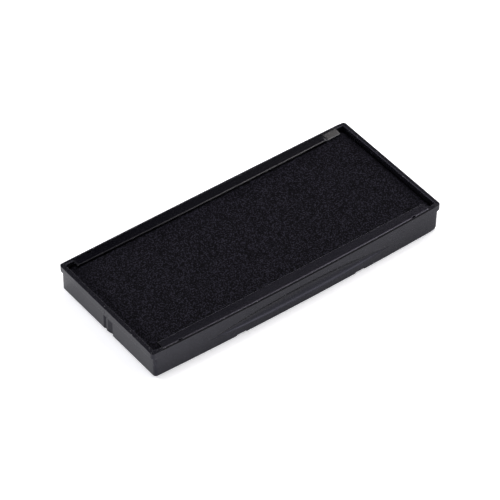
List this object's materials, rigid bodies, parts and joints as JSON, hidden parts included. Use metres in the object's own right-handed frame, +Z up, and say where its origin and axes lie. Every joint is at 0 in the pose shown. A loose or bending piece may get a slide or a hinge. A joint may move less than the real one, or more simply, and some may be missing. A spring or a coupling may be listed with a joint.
{
  "type": "ink pad cartridge",
  "caption": "Shallow black moulded tray with end rails and a front finger scoop, holding a soaked foam and felt ink pad under two long retaining strips.",
  "frame": {"origin": "centre of the flat underside, on the surface that the tray rests on", "axes": "+X along the long side towards the tapered leading end, -Y towards the front wall with the finger scoop, +Z up out of the pad"},
  "size_m": [0.0786, 0.0355, 0.007],
  "materials": {
    "tray": "semi-matt black moulded polystyrene, slightly glossier on the rim",
    "ink_foam": "open-cell foam soaked with black ink",
    "inking_felt": "fine granular felt, black ink with a faint blue-violet cast",
    "strip": "fine-grained satin black plastic"
  },
  "bodies": {
    "root": {"tray": "tray", "ink_foam": "ink_foam", "inking_felt": "inking_felt", "front_strip": "strip", "rear_strip": "strip"}
  },
  "joints": []
}
